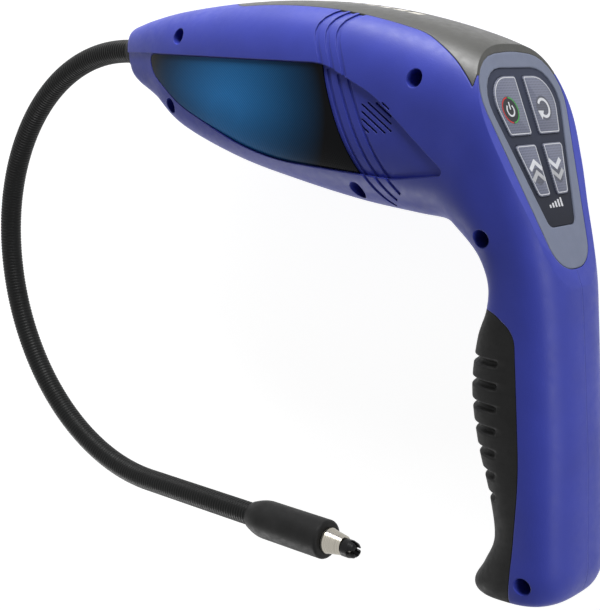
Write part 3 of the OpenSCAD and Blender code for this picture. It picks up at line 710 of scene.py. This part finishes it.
class DETECTOR_OT_housing(bpy.types.Operator):
    """Builds the two moulded housing halves with their recess, grooves, slots and screw holes"""

    bl_idname = "detector.housing"
    bl_label = "Housing halves"

    def execute(self, context):
        blue = moulded("blue_plastic", colours().body, 0.44, specular=0.24)
        for name, side in (("housing_left", 1), ("housing_right", -1)):
            finish_piece(self.half(name + "_skin", side), blue, "housing", [name])
        return {"FINISHED"}

    def half(self, name, side):
        """One half: the loft less its hollow, the openings for cover, grip and collar, and the side's own cuts."""
        play = shape().play / MM
        half = body_solid(name, 0.0, side=side)
        self.part(half, side)
        combine(half, cavity("hollow", side))
        combine(half, joined("face", [facet_block()]))
        combine(half, joined("egg", [facet_prism(rounded(EGG, play), -20.0, 20.0)]))
        combine(half, joined("strip", [strip_prism(play)]))
        combine(half, joined("grip", [grip_prism(play)]))
        ring = circle(BORE, 64, (AXIS, 0.0))
        bore = np.stack([np.column_stack([np.full(64, x), ring]) for x in (-110.0, -76.0)])
        combine(half, joined("bore", [row(bore)]))
        combine(half, self.ledge(side))
        combine(half, self.recess(side))
        for cut in self.grooves(side):
            combine(half, cut)
        combine(half, joined("slots", [side_prism(slot, 2.0, CLEAR, side) for slot in vent_slots()]))
        if side > 0:
            holes = [side_prism(circle(SCREW_HOLE, 64, p), 5.0, CLEAR, 1) for p in SCREWS]
            combine(half, joined("holes", holes))
        return half

    def part(self, half, side):
        """Moves the half's flat face off the symmetry plane by half the parting gap."""
        points = np.empty(len(half.data.vertices) * 3)
        half.data.vertices.foreach_get("co", points)
        points = points.reshape(-1, 3)
        off = (points[:, 2] - SHIFT[2]) * side
        points[:, 2] = SHIFT[2] + side * np.maximum(off, shape().parting)
        half.data.vertices.foreach_set("co", points.ravel())

    def ledge(self, side):
        """Shallow cut under the edge that runs from the recess to the nose: the body surface moved inwards by a
        depth that is full at the edge and fades out towards the underside and the back."""
        s = shape()
        cut = joined("ledge", [side_prism(LEDGE, 1.0, CLEAR, side)])
        u = np.linspace(0, 8, 8 * s.rows + 1)
        turn = np.linspace(0, 2 * np.pi, 2 * s.columns, endpoint=False)
        place = body_surface(u, turn, 0.0)
        fall = np.clip((np.cos(turn) + 0.86) / 0.5, 0, 1)[None] * np.clip((-place[..., 0] - 8.0) / 30.0, 0, 1)
        depth = s.ledge / MM * fall * fall * (3 - 2 * fall) * 1.04 - 0.04
        floor = body_surface(u, turn, depth)
        floor[0, :, 0] -= 4.0
        return combine(cut, tube_solid("ledge_floor", row(floor)))

    def recess(self, side):
        """Cut of the side recess: its outline, down to the body surface moved inwards by its depth."""
        leaf = joined("leaf", [side_prism(rounded(LEAF), 2.0, CLEAR, side)])
        return combine(leaf, body_solid("recess_floor", shape().recess / MM, *HEAD_SPAN))

    def grooves(self, side):
        """Cuts of the rib grooves, down to the body surface moved inwards by their depth: the upper ones, the lower
        ones, and the lower ones again within the recess, deeper by its depth."""
        s = shape()
        width = s.groove_width / MM
        upper = [ribs(i, 1.3 * width) for i in range(GROOVES)]
        lower = [arcs(ARC_RADIUS - 2.0 - i * s.groove_pitch / MM, width, 194.8 + 1.3 * i) for i in range(GROOVES)]
        for outlines in (upper, lower):
            cut = joined("grooves", [side_prism(ring, 2.0, CLEAR, side) for ring in outlines])
            yield combine(cut, body_solid("groove_floor", s.groove_depth / MM, *GROOVE_SPAN))
        deep = joined("deep_grooves", [side_prism(ring, 2.0, CLEAR, side) for ring in lower])
        combine(deep, joined("leaf", [side_prism(rounded(LEAF), 1.0, CLEAR + 1.0, side)]), "INTERSECT")
        yield combine(deep, body_solid("deep_floor", (s.recess + s.groove_depth) / MM, *GROOVE_SPAN))


class DETECTOR_OT_cover(bpy.types.Operator):
    """Builds the grey top cover with the sloping key plate and the light windows"""

    bl_idname = "detector.cover"
    bl_label = "Top cover"

    def execute(self, context):
        c = colours()
        cover = body_solid("top_cover_strip", 0.0, *COVER_SPAN)
        combine(cover, cavity("hollow"))
        combine(cover, joined("face", [facet_block()]))
        keep = joined("strip", [strip_prism(0.0)])
        combine(keep, joined("plate", [facet_prism(rounded(EGG), -4.0, 0.6)]), "UNION")
        combine(cover, keep, "INTERSECT")
        combine(cover, joined("pad", [facet_prism(rounded(PAD, 0.2), SEAT, 5.0)]))
        combine(cover, joined("wells", [facet_prism(key_outline(key, 0.3), WELL, 2.0) for key in KEYS]))
        plate = bpy.data.objects.new("top_cover_plate", cover.data.copy())
        bpy.context.scene.collection.objects.link(plate)
        combine(plate, joined("edge", [facet_prism(rounded(EGG, -0.05), -30.0, 10.0)]), "INTERSECT")
        combine(cover, joined("edge", [facet_prism(rounded(EGG, 0.05), -30.0, 10.0)]))
        combine(cover, joined("windows", self.windows(0.0)))
        finish_piece(cover, moulded("dark_strip", c.strip, 0.42), "housing", ["top_cover"])
        finish_piece(plate, moulded("grey_plastic", c.plate, 0.46, edge=0.0009), "housing")
        lenses = joined("light_windows", self.windows(-0.1))
        combine(lenses, body_solid("outer", 0.08, *WINDOW_SPAN), "INTERSECT")
        finish_piece(lenses, moulded("window_cream", c.lens, 0.25), "housing")
        return {"FINISHED"}

    def windows(self, grow):
        """Row of light windows as upright blocks along the top of the strip."""
        c, t = math.cos(WINDOW_TILT), math.sin(WINDOW_TILT)
        half_length, half_width = (half + grow for half in WINDOW_HALF)
        across = half_width * np.array([-1, -1, 1, 1])
        blocks = []
        for i in range(WINDOW_COUNT):
            along = (i - (WINDOW_COUNT - 1) / 2) * WINDOW_PITCH + half_length * np.array([-1, 1, 1, -1])
            levels = [np.stack([WINDOWS[0] + along * c - up * t, WINDOWS[1] + along * t + up * c, across], -1)
                      for up in (-2.0, 8.0)]
            blocks.append(row(np.stack(levels)))
        return blocks


class DETECTOR_OT_label(bpy.types.Operator):
    """Builds the bare label in the left recess"""

    bl_idname = "detector.label"
    bl_label = "Side label"

    def execute(self, context):
        s = shape()
        label = joined("label_left_skin", [side_prism(rounded(LEAF, -0.4), 2.0, CLEAR, 1)])
        arc = side_prism(circle(ARC_RADIUS, 256, ARC_CENTRE), 0.0, CLEAR + 2.0, 1)
        combine(label, joined("arc", [arc]))
        combine(label, body_solid("outer", (s.recess - s.label) / MM - 0.05, *HEAD_SPAN), "INTERSECT")
        combine(label, body_solid("inner", s.recess / MM - 0.05, 0.5, 12.0))
        finish_piece(label, glossy_label("label", colours().glow), "housing", ["label_left"])
        return {"FINISHED"}


class DETECTOR_OT_grip(bpy.types.Operator):
    """Builds the black front grip with its finger grooves"""

    bl_idname = "detector.grip"
    bl_label = "Front grip"

    def execute(self, context):
        # Each groove is a rounded dip of the housing surface round one height, which fades out towards the back
        u = np.linspace(*GRIP_SPAN, 720)
        turn = np.linspace(0, 2 * np.pi, 128, endpoint=False)
        place = body_surface(u, turn, 0.0)
        heights = FINGER_START - FINGER_PITCH * np.arange(FINGERS)
        near = np.abs(place[..., 1:2] - heights).min(-1)
        groove = np.clip(1 - (near / FINGER_HALF) ** 2, 0, 1) ** 1.5
        fade = np.clip((FINGER_END - place[..., 0]) / FINGER_FADE, 0, 1)
        depth = FINGER_DEPTH * groove * fade * fade * (3 - 2 * fade)
        grip = tube_solid("front_grip_skin", row(body_surface(u, turn, depth)))
        combine(grip, body_solid("hollow", shape().wall / MM, *HOLLOW_SPAN))
        combine(grip, joined("outline", [grip_prism(0.0)]), "INTERSECT")
        finish_piece(grip, rubber("grip_rubber", colours().rubber), "housing", ["front_grip"])
        return {"FINISHED"}


def stroke(points, width):
    """Outline of a line of a given width through points, with mitred corners."""
    points = np.asarray(points, float)
    step = np.diff(points, axis=0)
    step /= np.linalg.norm(step, axis=1)[:, None]
    side = np.stack([-step[:, 1], step[:, 0]], -1)
    both = np.concatenate([side[:1], side[:-1] + side[1:], side[-1:]])
    both /= np.linalg.norm(both, axis=1)[:, None]
    lean = np.concatenate([[1.0], (both[1:-1] * side[1:]).sum(1), [1.0]])
    offset = both * (width / 2 / lean)[:, None]
    return np.concatenate([points + offset, (points - offset)[::-1]])


def arc_points(centre, radius, start, end, steps=24):
    """Points of an arc on the sloping face, by angles from its left towards its top."""
    angle = np.radians(np.linspace(start, end, steps))
    return np.stack([centre[0] + radius * np.sin(angle), centre[1] + radius * np.cos(angle)], -1)


def disc(centre, radius, steps=48):
    """Points of a full circle on the sloping face."""
    return arc_points(centre, radius, 0, 360 - 360 / steps, steps)


def band(ring, inner, low, high):
    """Flat closed band between two rings on the sloping face, as a ring of rings."""
    corners = ((ring, low), (ring, high), (inner, high), (inner, low))
    return np.stack([facet(r[:, 0], r[:, 1], level) for r, level in corners])


class DETECTOR_OT_keypad(bpy.types.Operator):
    """Builds the keypad film, the four keys and their printed signs"""

    bl_idname = "detector.keypad"
    bl_label = "Keypad"

    def execute(self, context):
        c = colours()
        overlay = joined("keypad_overlay_skin", [self.stack(partial(rounded, PAD), FILM_LEVELS)])
        combine(overlay, joined("windows", [facet_prism(key_outline(key, 0.22), -2.0, 2.0) for key in KEYS]))
        finish_piece(map_facet(overlay), film("overlay", c.overlay), "housing", ["keypad_overlay"])
        face = dotted("key_grey", c.key)
        ink = printed("pale_print", c.ink, 0.5, 900.0, shade(c.ink, 0.9), c.ink)
        for key in KEYS:
            cap = joined(key + "_cap", [self.stack(partial(key_outline, key), KEY_LEVELS)])
            finish_piece(map_facet(cap), face, key, [key])
            rim = self.ribbon(key + "_rim", key_outline(key, -0.42), key_outline(key, -0.70))
            finish_piece(rim, ink, key)
        self.power_sign(ink)
        self.reset_sign(ink)
        # A darker copy of the key colour: painted shade of the raised domes under the signs
        self.painted_dome_shades(dotted("dark_patch", shade(c.key, 0.5)))
        # Darker ink for the lower chevrons: painted shade over the raised dome under them
        grey = printed("painted_shade_print", shade(c.ink, 0.6), 0.5, 900.0, shade(c.ink, 0.52), shade(c.ink, 0.68))
        self.chevrons(ink, grey)
        self.level_bars(ink)
        return {"FINISHED"}

    def stack(self, outline, levels):
        """Stack of one outline at several levels out of the face, each grown by its own amount."""
        rings = [(outline(grow), level) for level, grow in levels]
        return np.stack([facet(r[:, 0], r[:, 1], level) for r, level in rings])

    def ribbon(self, name, ring, inner):
        """Thin printed line round a key's face."""
        rings = band(ring, inner, PRINT_LOW, PRINT_HIGH)
        columns = rings.shape[1]
        faces = grid_faces(5, columns, True) % (4 * columns)
        return piece(name, rings, faces.tolist())

    def sign(self, name, key, outlines, ink, level=PRINT_HIGH):
        """Printed sign on a key, from flat outlines."""
        made = joined(name, [facet_prism(o, PRINT_LOW, level) for o in outlines])
        return finish_piece(made, ink, key)

    def power_sign(self, ink):
        """Broken loop with a bar on a dark disc, and a red and a green arc round them."""
        dark = printed("dark_print", (0.012, 0.013, 0.016), 0.4, 800.0, (0.010, 0.011, 0.014),
                       (0.016, 0.017, 0.022), 0.2)
        red = printed("red_print", (0.42, 0.02, 0.02), 0.4, 800.0, (0.38, 0.015, 0.015), (0.46, 0.025, 0.025), 0.2)
        green = printed("green_print", (0.05, 0.30, 0.06), 0.4, 800.0, (0.04, 0.27, 0.05), (0.06, 0.33, 0.07), 0.2)
        up, left = POWER_HUB
        self.sign("power_disc", "key_power", [disc(POWER_HUB, 4.7)], dark, DISC_HIGH)
        self.sign("power_arc_red", "key_power", [stroke(arc_points(POWER_HUB, 4.35, -86, 86), 0.45)], red)
        self.sign("power_arc_green", "key_power", [stroke(arc_points(POWER_HUB, 4.35, 94, 266), 0.45)], green)
        loop = stroke(arc_points(POWER_HUB, 2.0, 130, 410), 0.62)
        bar = stroke([(up + 0.2, left), (up + 2.8, left)], 0.62)
        self.sign("power_sign", "key_power", [loop, bar], ink)

    def reset_sign(self, ink):
        """Turning arrow: most of a circle with a triangle at its end."""
        radius, end = 3.1, 305
        turn = math.radians(end)
        out, on = np.array([math.sin(turn), math.cos(turn)]), np.array([math.cos(turn), -math.sin(turn)])
        point = RESET_HUB + radius * out
        head = np.array([point + out * 1.9, point - out * 1.9, point + on * 2.9])
        self.sign("reset_sign", "key_reset", [stroke(arc_points(RESET_HUB, radius, 30, end), 1.0), head], ink)

    def painted_dome_shades(self, dome_shade):
        """Round discs of painted shade under the signs of the plain keys, standing in for the shading of a raised
        dome under each sign.
        """
        for name, hub, size in (("reset", RESET_HUB, 4.4), ("up", UP_HUB, 3.0), ("down", DOWN_HUB, 3.0)):
            map_facet(self.sign(name + "_patch", "key_" + name, [disc(hub, size)], dome_shade, DOME_SHADE_HIGH))

    def chevrons(self, ink, grey):
        """Two chevrons on each lower key, pointing up on one and down on the other; the lower one is printed in
        darker ink as painted shade.
        """
        for name, side in (("up", 1), ("down", -1)):
            for part, lift, tone in (("upper", -1.9, ink), ("lower", -5.6, grey)):
                tip = np.array([lift, 6.3 * side])
                line = [tip + (-1.4 * side, -3.5), tip + (1.3 * side, 0.0), tip + (-1.4 * side, 3.5)]
                self.sign(f"{name}_{part}_chevron", "key_" + name, [stroke(line, 1.5)], tone)

    def level_bars(self, ink):
        """Row of printed bars that grow to one side, on the film below the keys."""
        bars = [stroke([(-16.6, 3.6 - 1.8 * i), (-15.5 + 0.5 * i, 3.6 - 1.8 * i)], 1.0) for i in range(5)]
        made = joined("level_bars", [facet_prism(b, -0.32, -0.27) for b in bars])
        finish_piece(made, ink, "housing")


def neck_path(s):
    """Middle line of the neck by its length s in mm from inside the collar: straight out, a quarter bend down,
    a wider quarter bend forwards, and straight to the tip. Returns places and unit tangents."""
    s = np.asarray(s, float)
    first, second, third = LEAD, LEAD + UPPER * np.pi / 2, LEAD + (UPPER + LOWER) * np.pi / 2
    a = np.clip((s - first) / UPPER, 0, np.pi / 2)
    b = np.clip((s - second) / LOWER, 0, np.pi / 2)
    x = (BEND + LEAD - np.minimum(s, first) - UPPER * np.sin(a) + LOWER * (1 - np.cos(b))
         + np.maximum(s - third, 0))
    y = AXIS - UPPER * (1 - np.cos(a)) - LOWER * np.sin(b)
    heading = np.pi + a + b
    return np.stack([x, y], -1), np.stack([np.cos(heading), np.sin(heading)], -1)


class DETECTOR_OT_neck(bpy.types.Operator):
    """Builds the ribbed neck in six lengths, each round one joint"""

    bl_idname = "detector.neck"
    bl_label = "Ribbed neck"

    def execute(self, context):
        made = rubber("neck_black", colours().neck, 0.42)
        middles = (JOINTS[:-1] + JOINTS[1:]) / 2
        bounds = np.concatenate([[0.5], middles, [NECK_END]])
        for i, joint in enumerate(JOINTS):
            length = self.length(f"neck_length_{i + 1}", bounds[i], bounds[i + 1])
            finish_piece(length, made, None, angle=60)
            place, way = neck_path(joint)
            ends = [row((*(place + way * d), 0.0)) for d in (-BEND_HALF, BEND_HALF)]
            tuple(ends[0])
            tuple(ends[1])
            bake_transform(length)
        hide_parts(*(f"neck_link_{i}" for i in range(1, 8)))
        return {"FINISHED"}

    def length(self, name, start, end):
        """Tube round the neck's middle line whose radius rises and falls in round ridges along its length."""
        s = shape()
        pitch, height = s.ridge_pitch / MM, s.ridge_height / MM
        along = np.linspace(start, end, int((end - start) / pitch * 8) + 1)
        radius = NECK_RADIUS - height + height * np.abs(np.sin(np.pi * along / pitch)) ** 0.7
        angle = np.linspace(0, 2 * np.pi, 36, endpoint=False)
        place, way = neck_path(along)
        out = np.stack([-way[:, 1], way[:, 0]], -1)
        plane = place[:, None] + (radius[:, None] * np.cos(angle))[..., None] * out[:, None]
        return tube_solid(name, row(np.concatenate([plane, (radius[:, None] * np.sin(angle))[..., None]], -1)))


def turned(name, profile, y, columns=72):
    """Turned solid about a line along X: a closed profile of (place along X, radius) carried round."""
    profile = np.asarray(profile, float)
    angle = np.linspace(0, 2 * np.pi, columns, endpoint=False)
    along, radius = profile[:, :1], profile[:, 1:2]
    rings = np.stack([along + 0 * angle, y + radius * np.cos(angle), radius * np.sin(angle)], -1)
    faces = grid_faces(len(profile) + 1, columns, True) % (len(profile) * columns)
    return piece(name, row(rings), faces.tolist())


class DETECTOR_OT_probe(bpy.types.Operator):
    """Builds the neck's collar, the sleeve and the metal cone"""

    bl_idname = "detector.probe"
    bl_label = "Collar and probe tip"

    def execute(self, context):
        c = colours()
        black = moulded("black_plastic", (0.012, 0.012, 0.013), 0.4, specular=0.15)
        collar = turned("neck_collar_skin", COLLAR, AXIS)
        finish_piece(collar, black, "housing", ["neck_collar"])
        steps = np.linspace(0, 1, 10)
        taper = np.stack([TIP_START + 9 * steps, 6.0 + 2.2 * np.sin(steps * np.pi / 2)], -1).tolist()
        bend = np.linspace(0, np.pi / 2, 7)
        front = np.stack([TIP_START + 40.6 + 1.4 * np.sin(bend), 6.8 + 1.4 * np.cos(bend)], -1).tolist()
        inner = [(TIP_START + 42, 4.6), (TIP_START + 33, 4.6), (TIP_START + 33, 5.2), (TIP_START, 5.2)]
        sleeve = turned("tip_sleeve_skin", inner + taper + front, TIP_LINE)
        soft = rubber("sleeve_rubber", shade(c.rubber, 1.7), 0.5)
        finish_piece(sleeve, soft, "probe", ["tip_sleeve"])
        cone = turned("tip_cone_skin", np.array(CONE) + (TIP_START, 0.0), TIP_LINE)
        finish_piece(cone, turned_steel("bright_steel", c.steel), "probe", ["tip_cone"])
        return {"FINISHED"}


def paint(name, made):
    """Material of a CAD node that is shown as it is."""
    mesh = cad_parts[name].data
    mesh.materials.clear()
    mesh.materials.append(made)


class DETECTOR_OT_inside(bpy.types.Operator):
    """Paints the solid pieces that are shown as they are: screws, lights, sensor and the parts inside"""

    bl_idname = "detector.inside"
    bl_label = "Screws, lights and inside"

    def execute(self, context):
        lens = moulded("clear_plastic", (0.10, 0.085, 0.06), 0.18)
        cap = moulded("cap_plastic", (0.010, 0.010, 0.011), 0.36, specular=0.15)
        steel = turned_steel("screw_steel", (0.20, 0.20, 0.21))
        ceramic = moulded("ceramic", (0.55, 0.53, 0.48), 0.6)
        can = turned_steel("cell_can", (0.70, 0.56, 0.25))
        board = coated_board("board_green")
        paint("light_bar", lens)
        paint("sensor_cap", cap)
        paint("sensor_element", ceramic)
        for name in ("case_screws", "contact_springs"):
            paint(name, steel)
        for name in ("main_board", "key_board", "light_board"):
            paint(name, board)
        for name in ("speaker", "battery_tray"):
            paint(name, cap)
        for i in range(1, 5):
            paint(f"cell_{i}", can)
        return {"FINISHED"}


class DETECTOR_OT_stage(bpy.types.Operator):
    """Makes the floor, the light and the camera at the photo's angle"""

    bl_idname = "detector.stage"
    bl_label = "Stage"

    def execute(self, context):
        self.floor()
        self.light()
        self.camera(context.scene)
        return {"FINISHED"}

    def floor(self):
        """Wide flat floor under the detector."""
        edge = 3.0
        mesh = bpy.data.meshes.new("floor")
        corners = [(-edge, -edge, 0), (edge, -edge, 0), (edge, edge, 0), (-edge, edge, 0)]
        mesh.from_pydata(corners, [], [(0, 1, 2, 3)])
        obj = bpy.data.objects.new("floor", mesh)
        bpy.context.scene.collection.objects.link(obj)
        mesh.materials.append(self.paper(colours().floor))

    def paper(self, colour):
        """White paper: plain to the light, and lifted where it is seen, so that its shadows stay pale."""
        made, shader = material("floor", colour, 0.9, specular=0.0)
        seen = node(made, "ShaderNodeBsdfDiffuse", Color=(*shade(colour, 0.40), 1))
        lift = node(made, "ShaderNodeEmission", Color=(1, 1, 1, 1), Strength=0.90)
        both, pick = node(made, "ShaderNodeAddShader"), node(made, "ShaderNodeMixShader")
        link(made, seen.outputs["BSDF"], both.inputs[0])
        link(made, lift.outputs["Emission"], both.inputs[1])
        link(made, self.seen(made), pick.inputs["Fac"])
        link(made, shader.outputs["BSDF"], pick.inputs[1])
        link(made, both.outputs["Shader"], pick.inputs[2])
        link(made, pick.outputs["Shader"], made.node_tree.nodes["Material Output"].inputs["Surface"])
        return made

    def seen(self, made):
        """One for rays from the camera, mirrored rays and rays through clear things, else nought."""
        path = node(made, "ShaderNodeLightPath")
        first, both = (node(made, "ShaderNodeMath", operation="MAXIMUM") for i in range(2))
        link(made, path.outputs["Is Camera Ray"], first.inputs[0])
        link(made, path.outputs["Is Glossy Ray"], first.inputs[1])
        link(made, first.outputs["Value"], both.inputs[0])
        link(made, path.outputs["Is Transmission Ray"], both.inputs[1])
        return both.outputs["Value"]

    def light(self):
        """Pale world and three soft lamps: over the head, behind the handle, and a weak one below the nose."""
        world = bpy.data.worlds.new("studio")
        world.use_nodes = True
        dim = world.node_tree.nodes["Background"]
        dim.inputs["Color"].default_value = (1, 1, 1, 1)
        dim.inputs["Strength"].default_value = 0.17
        white = node(world, "ShaderNodeBackground", Color=(1, 1, 1, 1), Strength=1.0)
        pick = node(world, "ShaderNodeMixShader")
        link(world, self.seen(world), pick.inputs["Fac"])
        link(world, dim.outputs["Background"], pick.inputs[1])
        link(world, white.outputs["Background"], pick.inputs[2])
        link(world, pick.outputs["Shader"], world.node_tree.nodes["World Output"].inputs["Surface"])
        bpy.context.scene.world = world
        for name, (place, size, power) in LAMPS.items():
            lamp = bpy.data.lights.new(name, "AREA")
            lamp.shape = "RECTANGLE"
            lamp.energy = power
            lamp.size, lamp.size_y = size
            obj = bpy.data.objects.new(name, lamp)
            bpy.context.scene.collection.objects.link(obj)
            place = row(np.array(place, float))
            way = place - row(LAMP_AIM)
            z = way / np.linalg.norm(way)
            x = np.cross((0, 1, 0.01), z)
            x /= np.linalg.norm(x)
            turn = np.eye(4)
            turn[:3] = np.stack([x, np.cross(z, x), z, place], -1)
            obj.matrix_world = Matrix(turn.tolist())

    def camera(self, scene):
        """Camera turned from the detector's left towards its back and raised a little."""
        a, e = CAMERA_TURN, CAMERA_RISE
        right = np.array([math.cos(a), 0, -math.sin(a)])
        up = np.array([-math.sin(e) * math.sin(a), math.cos(e), -math.sin(e) * math.cos(a)])
        back = np.array([math.cos(e) * math.sin(a), math.sin(e), math.cos(e) * math.cos(a)])
        turn = np.eye(4)
        turn[:3] = np.stack([right, up, back, SHIFT + CAMERA_AWAY * back], -1)
        data = bpy.data.cameras.new("camera")
        data.lens = CAMERA_LENS
        data.sensor_width = 36.0
        data.clip_start = 0.01
        obj = bpy.data.objects.new("camera", data)
        scene.collection.objects.link(obj)
        obj.matrix_world = Matrix(turn.tolist())
        scene.camera = obj
        scene.view_settings.view_transform = "Standard"


OPERATORS = (DETECTOR_OT_housing, DETECTOR_OT_cover, DETECTOR_OT_label, DETECTOR_OT_grip, DETECTOR_OT_keypad,
             DETECTOR_OT_neck, DETECTOR_OT_probe, DETECTOR_OT_inside, DETECTOR_OT_stage)


class DETECTOR_PT_panel(bpy.types.Panel):
    """Lists the detector's sizes, colours and build steps"""

    bl_label = "Leak detector"
    bl_idname = "DETECTOR_PT_panel"
    bl_space_type = "VIEW_3D"
    bl_region_type = "UI"
    bl_category = "Detector"

    def draw(self, context):
        layout = self.layout
        for group in (context.scene.detector_shape, context.scene.detector_colours):
            box = layout.box()
            for name in group.__annotations__:
                box.prop(group, name)
        for operator in OPERATORS:
            layout.operator(operator.bl_idname)


CLASSES = (DetectorShape, DetectorColours, *OPERATORS, DETECTOR_PT_panel)


def register():
    """Adds the classes, and the sizes and colours to the scene."""
    for cls in CLASSES:
        bpy.utils.register_class(cls)
    bpy.types.Scene.detector_shape = PointerProperty(type=DetectorShape)
    bpy.types.Scene.detector_colours = PointerProperty(type=DetectorColours)


def unregister():
    """Takes them away again."""
    del bpy.types.Scene.detector_colours
    del bpy.types.Scene.detector_shape
    for cls in reversed(CLASSES):
        bpy.utils.unregister_class(cls)


def main():
    """Builds every piece in order."""
    register()
    bpy.ops.detector.housing()
    bpy.ops.detector.cover()
    bpy.ops.detector.label()
    bpy.ops.detector.grip()
    bpy.ops.detector.keypad()
    bpy.ops.detector.neck()
    bpy.ops.detector.probe()
    bpy.ops.detector.inside()
    bpy.ops.detector.stage()


if __name__ == "__main__":
    main()
